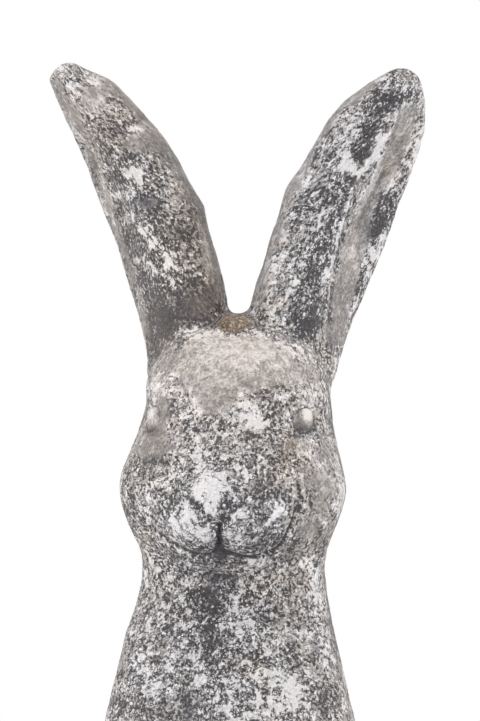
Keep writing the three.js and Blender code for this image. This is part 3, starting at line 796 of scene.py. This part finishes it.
def cast_stone():
    """Weathered grey cement under what is left of a white wash, pitted and crossed by dark lines, with
    painted highlights and painted shade that the tone attribute brings in.
    """
    m = Shader("cast_stone")
    grain = m.attribute("grain", "Vector")
    # tone holds lighter and darker patches and also painted highlights, painted shade and painted shadow; it
    # lifts the wash and shifts the cement and the even places
    tone, hollow = m.attribute("tone"), m.attribute("hollow")
    calm, warmth = m.attribute("calm"), m.attribute("warmth")

    patches = m.noise(grain, size=24, detail=3, roughness=0.5)
    zones = m.noise(m.moved(grain, 300), size=16, detail=3, roughness=0.5)
    marbled = m.noise(grain, size=5.0, detail=4, roughness=0.72, distortion=0.5)
    clusters = m.noise(m.moved(grain, 200), size=5.0, detail=4, roughness=0.6)
    flecks = m.noise(grain, size=2.2, detail=2, roughness=0.65)
    grit = m.noise(grain, size=1.3, detail=2, roughness=0.7)
    blots = m.noise(grain, size=9, detail=8, roughness=0.7)
    specks = m.noise(m.moved(grain, 40), size=2.0, detail=2, roughness=0.68)
    veins = m.noise(m.moved(grain, 80), size=4.0, detail=4, roughness=0.6, distortion=1.0)
    fading = m.noise(m.moved(grain, 120), size=12, detail=4, roughness=0.6)
    brushed = m.noise(m.stretched(grain, (1, 1, 0.22)), size=1.8, detail=4, roughness=0.65)
    number, rim = m.cells(m.warped(grain, size=1.6, reach=2.2), size=2.1)

    # Where the surface is smooth and even, and where it is crisp with flecks
    mood = m.weigh((calm, 1.0), (zones, 1.6), (clusters, 1.6), add=-1.75)
    calmness, crispness = m.step(mood, 0.1, 0.65), m.step(mood, 0.2, -0.8)

    # What is left of the white wash, which tone lifts also where it paints highlights: its sheets, small
    # spots, and round pale grains
    lift = m.weigh((tone, 0.10), (hollow, -0.12), (patches, 0.36), (crispness, 0.055), add=-0.196)
    level = m.math("ADD", marbled, lift)
    wash = m.step(level, 0.521, 0.53)
    core = m.step(level, 0.57, 0.64)
    edge = m.step(level, 0.45, 0.52)
    halo = m.weigh((fading, 2.4), add=-1.3)
    spots = m.step(m.weigh((flecks, 1.0), (lift, 0.5), (crispness, 0.04)), 0.59, 0.605)
    grains = m.weigh((clusters, 1.0), (lift, 0.6), (number, 0.30), (crispness, 0.06))
    grains = m.math("MULTIPLY", m.step(grains, 0.70, 0.72), m.step(rim, 0.06, 0.14))
    white = m.math("MAXIMUM", wash, m.math("MAXIMUM", m.math("MULTIPLY", spots, 0.92), grains))

    # Dark veins, pits, and lines round the grains
    vein = m.math("ABSOLUTE", m.math("SUBTRACT", veins, 0.5))
    veined = m.step(m.weigh((fading, 1.0), (crispness, 0.06)), 0.44, 0.52)
    vein = m.math("MULTIPLY", m.step(vein, 0.026, 0.010), veined)
    pit = m.weigh((specks, 1.0), (lift, -0.40), (hollow, 0.1), (fading, 0.25), (crispness, 0.05), add=-0.125)
    pit = m.step(pit, 0.54, 0.56)
    outlined = m.step(m.weigh((clusters, 1.0), (lift, 1.0)), 0.46, 0.53)
    outline = m.math("MULTIPLY", m.step(rim, 0.12, 0.05), outlined)
    outline = m.math("MULTIPLY", outline, m.step(mood, 0.1, -0.6))
    dark = m.math("MAXIMUM", m.math("MAXIMUM", m.math("MULTIPLY", vein, 0.85), outline), pit)
    dark = m.math("MULTIPLY", dark, m.step(core, 0.0, 1.0, 0.95, 0.12))

    # The cement and the wash on it, the even places over both, and the dark marks over all
    haze = m.math("MULTIPLY", edge, halo)
    shade = ((blots, 1.6), (tone, 0.17), (grit, 2.0), (hollow, -0.30), (crispness, -0.33), (haze, 1.0))
    cement = m.ramp(m.weigh(*shade, add=-0.99), CEMENT)
    colour = m.mix(white, cement, m.ramp(grit, CHALK))
    even = m.weigh((marbled, 0.9), (brushed, 0.9), (grit, 0.8), (white, 0.14), (tone, 0.30), add=-0.85)
    colour = m.mix(m.math("MULTIPLY", calmness, 0.75), colour, m.ramp(even, BRUSHED))
    pitted = m.math("MULTIPLY", dark, m.step(calmness, 0.0, 1.0, 1.0, 0.25))
    colour = m.mix(pitted, colour, m.ramp(grit, PITS))

    # Warm and cold stains, and the cold tint of a painted highlight on the right ear, of which the white
    # wash takes less
    heat = m.weigh((warmth, 1.0), (blots, 3.6), add=-1.6)
    heat = m.math("MAXIMUM", heat, m.step(white, 0.0, 1.0, -2.5, -0.3))
    heat = m.math("MINIMUM", heat, m.step(white, 0.0, 1.0, 4.0, 0.6))
    red, green, blue = (m.weigh((heat, gain), add=base)
                        for gain, base in ((0.045, 1.0), (-0.004, 0.971), (-0.07, 0.99)))
    tint = m.node("CombineColor", {"Red": red, "Green": green, "Blue": blue}).outputs[0]
    m.set(m.surface.inputs["Base Color"], m.mix(1.0, colour, tint, "MULTIPLY"))
    m.set(m.surface.inputs["Roughness"], m.step(white, 0.0, 1.0, 0.6, 0.85))

    height = m.weigh((white, 0.5), (grit, 0.6), (flecks, 0.7), (dark, -0.7))
    m.emboss(height, m.step(calmness, 0.0, 1.0, 0.9, 0.45), 0.0012)
    return m.material


def earthy_mortar():
    """Brown mortar with pale flecks."""
    m = Shader("brown_mortar")
    grain = m.millimetres()
    grit = m.noise(grain, size=1.2, detail=4, roughness=0.65)
    blots = m.noise(grain, size=5, detail=5, roughness=0.6)
    value = m.math("MULTIPLY_ADD", m.math("SUBTRACT", grit, 0.5), 1.9, blots)
    flecks = m.step(m.noise(grain, size=2.6, detail=6, roughness=0.7), 0.56, 0.59)
    m.set(m.surface.inputs["Base Color"], m.mix(flecks, m.ramp(value, EARTH), linear(EARTH_FLECKS)))
    m.surface.inputs["Roughness"].default_value = 0.95
    m.emboss(grit, 1.0, 0.0018)
    return m.material


def rusted_iron():
    m = Shader("iron")
    grit = m.noise(m.millimetres(), size=1.5, detail=5, roughness=0.65)
    m.set(m.surface.inputs["Base Color"], m.ramp(grit, RUST))
    m.surface.inputs["Roughness"].default_value = 0.85
    m.surface.inputs["Metallic"].default_value = 0.3
    m.emboss(grit, 0.6, 0.0004)
    return m.material


STONE = cast_stone()
BROWN = earthy_mortar()
IRON = rusted_iron()


SHARP_ANGLE = math.radians(55)


def piece(name, mesh, replaces, slot, material):
    """A visible piece in the place of CAD nodes."""
    mesh.validate()
    mesh.name = name
    obj = bpy.data.objects.new(name, mesh)
    bpy.context.scene.collection.objects.link(obj)
    mesh.shade_smooth()
    mesh.set_sharp_from_angle(angle=SHARP_ANGLE)
    mesh.materials.clear()
    mesh.materials.append(material)
    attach(obj, "root")
    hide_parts(*replaces)


def stood_off(form, distance, height, size, seed):
    """The form moved out by a distance that varies in waves."""
    return form.moved_out(distance + height * lumps(form.points, size, seed))


# The skin comes apart into the pieces: the ears along their mortar, the castings along the parting plane
FAR = 500
MORTAR_LIGHTER = 0.8
rest = paint(figure.mesh("skin"))
meshes = {}
for hand, ear in ears.items():
    inner, outer = (stood_off(ear, *EAR_RING[face]) for face in ("inner", "outer"))
    meshes[f"{hand}_ear"] = cut(rest.copy(), inner, "INTERSECT")
    ring = cut(cut(rest.copy(), outer, "INTERSECT"), inner.moved_out(HAIRLINE), "DIFFERENCE")
    meshes[f"{hand}_ear_mortar"] = paint(ring, lighter=MORTAR_LIGHTER)
    rest = cut(rest, outer.moved_out(HAIRLINE), "DIFFERENCE")

# The crown's lump of mortar: height, size and seed of its coarse and its fine roughness
CROWN_ROUGHNESS = [(1.1, 7, 23), (0.5, 2.5, 24)]
crown = remeshed(cad_form("crown_mortar", grow=CROWN_GROWTH), CROWN_VOXEL)
rough = sum(height * lumps(crown.points, size, seed) for height, size, seed in CROWN_ROUGHNESS)
crown.points += crown.normals() * rough[:, None]
meshes["crown_mortar"] = cut(rest.copy(), crown, "INTERSECT")
rest = cut(rest, crown.moved_out(HAIRLINE), "DIFFERENCE")

beads = {}
for name in EYES:
    bead = remeshed(eye_form(name, *EYE_BEADS[name]), BEAD_VOXEL).smooth(3)
    beads[name] = weather(bead, 5, 0.3)
    rest = cut(rest, bead.moved_out(EYE_GAP), "DIFFERENCE")

front = block((-FAR, -FAR, SOLE), (FAR, SEAM_Y - HAIRLINE, 2 * FAR))
rear = block((-FAR, SEAM_Y + HAIRLINE, SOLE), (FAR, FAR, 2 * FAR))
meshes["front_casting"] = cut(rest.copy(), front, "INTERSECT")
meshes["rear_casting"] = cut(rest, rear, "INTERSECT")
BEAD_CALMER = 0.6
for name, bead in beads.items():
    meshes[name] = paint(bead.mesh(name), calmer=BEAD_CALMER)

plinth = weather(remeshed(cad_form("plinth"), PLINTH_VOXEL).smooth(2), 8, 0.8)
low, high = (np.array(corner) / MM for corner in cad_box)
plinth.points = np.clip(plinth.points, low, high)
meshes["plinth"] = paint(plinth.mesh("plinth"))

FINISHES = {
    "crown_mortar": ("brown_mortar", BROWN),
    "left_ear_mortar": ("mortar", STONE),
    "right_ear_mortar": ("mortar", STONE),
}
for name, mesh in meshes.items():
    piece(f"{name}_skin", mesh, [name], *FINISHES.get(name, ("cast_stone", STONE)))

# The iron and the mortar bed are the CAD part's own
for name in INNER:
    NODES[name].material_slots[0].material = IRON
NODES["plinth_mortar_bed"].material_slots[0].material = BROWN

# Camera, floor and lamps
SENSOR = 36
camera = bpy.data.objects.new("camera", bpy.data.cameras.new("camera"))
bpy.context.scene.collection.objects.link(camera)
target = Vector(RIGHT * CAMERA_ASIDE * MM + np.array([0, 0, CAMERA_HEIGHT * MM]))
camera.location = target + Vector(TOWARDS * CAMERA_DISTANCE * MM)
camera.rotation_euler = (target - camera.location).to_track_quat("-Z", "Y").to_euler()
camera.data.sensor_width = SENSOR
camera.data.lens = SENSOR * CAMERA_DISTANCE / (FRAME_HEIGHT * MM_PER_PIXEL)
bpy.context.scene.camera = camera

FLOOR_RADIUS = 1.6
FLOOR_SIDES = 96
FLOOR_DROP = 0.0003
disc = bmesh.new()
bmesh.ops.create_circle(disc, cap_ends=True, segments=FLOOR_SIDES, radius=FLOOR_RADIUS)
floor_mesh = bpy.data.meshes.new("floor")
disc.to_mesh(floor_mesh)
disc.free()
floor = bpy.data.objects.new("floor", floor_mesh)
bpy.context.scene.collection.objects.link(floor)
floor.location.z = -FLOOR_DROP
paper = Shader("floor_paper")
paper.surface.inputs["Base Color"].default_value = linear(PAPER)
paper.surface.inputs["Roughness"].default_value = 0.9
floor_mesh.materials.append(paper.material)

# Soft boxes, in metres: place, what each is turned to, width and height, watts
LAMPS = {
    "left_softbox": ((-1.6, 0.1, 0.8), (0, 0, 0.4), (1.0, 1.6), 9.7),
    "right_softbox": ((1.6, 0.3, 0.8), (0, 0, 0.4), (1.0, 1.6), 11.3),
    "front_softbox": ((-0.3, -2.2, 0.75), (0, 0, 0.4), (1.6, 1.2), 12.6),
    "overhead_softbox": ((0.1, -0.4, 2.0), (0, 0, 0.3), (1.6, 1.6), 8.4),
}
for name, (place, towards, size, watts) in LAMPS.items():
    light = bpy.data.lights.new(name, "AREA")
    light.shape = "RECTANGLE"
    light.size, light.size_y = size
    light.energy = watts
    lamp = bpy.data.objects.new(name, light)
    bpy.context.scene.collection.objects.link(lamp)
    lamp.location = place
    lamp.rotation_euler = (Vector(towards) - Vector(place)).to_track_quat("-Z", "Y").to_euler()

# A white tent all round, which lights less strongly than it is seen
TENT_LIGHT, TENT_SEEN = 0.53, 1.0
world = bpy.data.worlds.new("tent")
bpy.context.scene.world = world
world.use_nodes = True
tree = world.node_tree
background = tree.nodes["Background"]
background.inputs["Color"].default_value = (1, 1, 1, 1)
path = tree.nodes.new("ShaderNodeLightPath")
seen_white = path.outputs["Is Camera Ray"]
for ray in ("Is Glossy Ray", "Is Transmission Ray"):
    either = tree.nodes.new("ShaderNodeMath")
    either.operation = "MAXIMUM"
    tree.links.new(seen_white, either.inputs[0])
    tree.links.new(path.outputs[ray], either.inputs[1])
    seen_white = either.outputs[0]
mix = tree.nodes.new("ShaderNodeMix")
mix.data_type = "FLOAT"
mix.inputs["A"].default_value = TENT_LIGHT
mix.inputs["B"].default_value = TENT_SEEN
tree.links.new(seen_white, mix.inputs["Factor"])
tree.links.new(mix.outputs["Result"], background.inputs["Strength"])

bpy.context.scene.view_settings.view_transform = "Standard"
